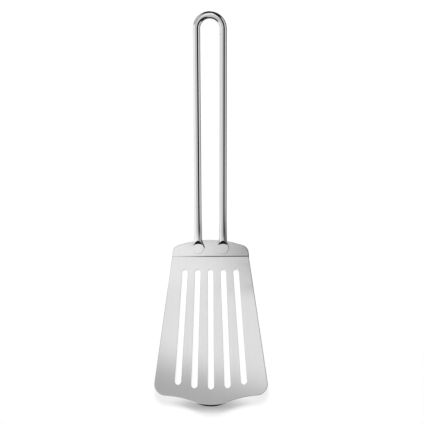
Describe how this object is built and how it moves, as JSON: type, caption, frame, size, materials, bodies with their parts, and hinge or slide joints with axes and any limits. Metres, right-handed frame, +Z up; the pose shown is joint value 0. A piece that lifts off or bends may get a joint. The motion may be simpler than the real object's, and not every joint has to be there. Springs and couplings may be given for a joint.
{
  "type": "fish spatula",
  "caption": "All-steel slotted fish spatula: a long U-shaped wire handle welded to a flared, tilted sheet blade with fanned drain slots and a rounded tip.",
  "frame": {"origin": "on the surface that the part lies on, under the middle of the part's bounding box", "axes": "+Y runs along the handle from the blade to the loop, the food face looks up along +Z, and +X is to the right of someone who looks down on that face with the handle pointing away"},
  "size_m": [0.0874, 0.3028, 0.0419],
  "materials": {
    "brushed_sheet": "fine brushed stainless steel with rounded rims",
    "polished_wire": "polished stainless steel wire",
    "weld_metal": "fused stainless steel"
  },
  "bodies": {
    "root": {"blade": "brushed_sheet", "handle_wire": "polished_wire", "weld_left": "weld_metal", "weld_right": "weld_metal"}
  },
  "joints": []
}
